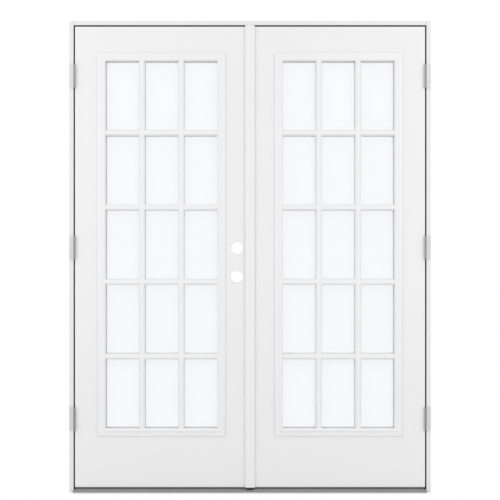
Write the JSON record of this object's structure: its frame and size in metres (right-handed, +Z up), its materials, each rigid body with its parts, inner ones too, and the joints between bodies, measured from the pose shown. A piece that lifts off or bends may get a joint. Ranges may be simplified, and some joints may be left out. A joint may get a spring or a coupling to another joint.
{
  "type": "french doors",
  "caption": "Pair of hinged exterior doors with gridded glass, in a rabbeted frame with a metal sill, one leaf bored for a lock and lapping the other with an astragal.",
  "frame": {"origin": "on the floor under the middle of the unit, in the plane of the jambs' outside edges", "axes": "+X across the opening towards the passive leaf, +Y into the house, +Z up"},
  "size_m": [1.5748, 0.1349, 2.055],
  "materials": {
    "jamb_paint": "satin white paint on wood",
    "core_wood": "bare sawn softwood",
    "sill_composite": "bare composite board",
    "sill_aluminium": "mill finish, fine grain along its length",
    "weatherstrip": "white foam-filled film",
    "sweep_vinyl": "dark soft vinyl",
    "boot_rubber": "black rubber",
    "hinge_steel": "satin plated steel",
    "slab_skin": "smooth white glass-fibre skin, satin",
    "lite_plastic": "white moulded plastic, satin",
    "clear_glass": "clear float glass",
    "spacer_aluminium": "mill finish",
    "slab_foam": "rigid foam",
    "astragal_paint": "white powder coat",
    "bolt_steel": "satin plated steel"
  },
  "bodies": {
    "frame": {"left_jamb": "jamb_paint", "right_jamb": "jamb_paint", "head_jamb": "jamb_paint", "sill_cover": "sill_aluminium", "sill_substrate": "sill_composite", "sill_bumper": "sweep_vinyl", "head_weatherstrip": "weatherstrip", "left_weatherstrip": "weatherstrip", "right_weatherstrip": "weatherstrip", "left_hinge_pins": "hinge_steel", "right_hinge_pins": "hinge_steel", "left_top_jamb_hinge_leaf": "hinge_steel", "left_middle_jamb_hinge_leaf": "hinge_steel", "left_bottom_jamb_hinge_leaf": "hinge_steel", "right_top_jamb_hinge_leaf": "hinge_steel", "right_middle_jamb_hinge_leaf": "hinge_steel", "right_bottom_jamb_hinge_leaf": "hinge_steel"},
    "active_leaf": {"active_top_door_hinge_leaf": "hinge_steel", "active_middle_door_hinge_leaf": "hinge_steel", "active_bottom_door_hinge_leaf": "hinge_steel", "active_hinge_stile": "core_wood", "active_top_rail": "core_wood", "active_bottom_rail": "core_wood", "active_foam_core": "slab_foam", "active_outer_skin": "slab_skin", "active_inner_skin": "slab_skin", "active_outer_lite_frame": "lite_plastic", "active_inner_lite_frame": "lite_plastic", "active_outer_pane": "clear_glass", "active_inner_pane": "clear_glass", "active_glass_spacer": "spacer_aluminium", "active_bottom_sweep": "sweep_vinyl", "active_lock_stile": "core_wood", "active_lock_block": "core_wood", "astragal": "astragal_paint", "astragal_stem": "jamb_paint", "astragal_seal": "weatherstrip", "astragal_boot": "boot_rubber"},
    "passive_leaf": {"passive_top_door_hinge_leaf": "hinge_steel", "passive_middle_door_hinge_leaf": "hinge_steel", "passive_bottom_door_hinge_leaf": "hinge_steel", "passive_hinge_stile": "core_wood", "passive_top_rail": "core_wood", "passive_bottom_rail": "core_wood", "passive_foam_core": "slab_foam", "passive_outer_skin": "slab_skin", "passive_inner_skin": "slab_skin", "passive_outer_lite_frame": "lite_plastic", "passive_inner_lite_frame": "lite_plastic", "passive_outer_pane": "clear_glass", "passive_inner_pane": "clear_glass", "passive_glass_spacer": "spacer_aluminium", "passive_bottom_sweep": "sweep_vinyl", "passive_free_stile": "core_wood", "strike_plates": "bolt_steel", "flush_bolt_plates": "bolt_steel"},
    "top_bolt": {"top_flush_bolt": "bolt_steel"},
    "bottom_bolt": {"bottom_flush_bolt": "bolt_steel"}
  },
  "joints": [
    {"name": "active_leaf_swing", "type": "hinge", "parent": "frame", "child": "active_leaf", "pos_m": [-0.7635, -0.0066, 1.0679], "axis": [0, 0, -1], "range_deg": [0, 170]},
    {"name": "passive_leaf_swing", "type": "hinge", "parent": "frame", "child": "passive_leaf", "pos_m": [0.7635, -0.0066, 1.0679], "axis": [0, 0, 1], "range_deg": [0, 170]},
    {"name": "top_bolt_slide", "type": "slide", "parent": "passive_leaf", "child": "top_bolt", "axis": [0, 0, 1], "range_m": [0, 0.019]},
    {"name": "bottom_bolt_slide", "type": "slide", "parent": "passive_leaf", "child": "bottom_bolt", "axis": [0, 0, -1], "range_m": [0, 0.019]}
  ]
}
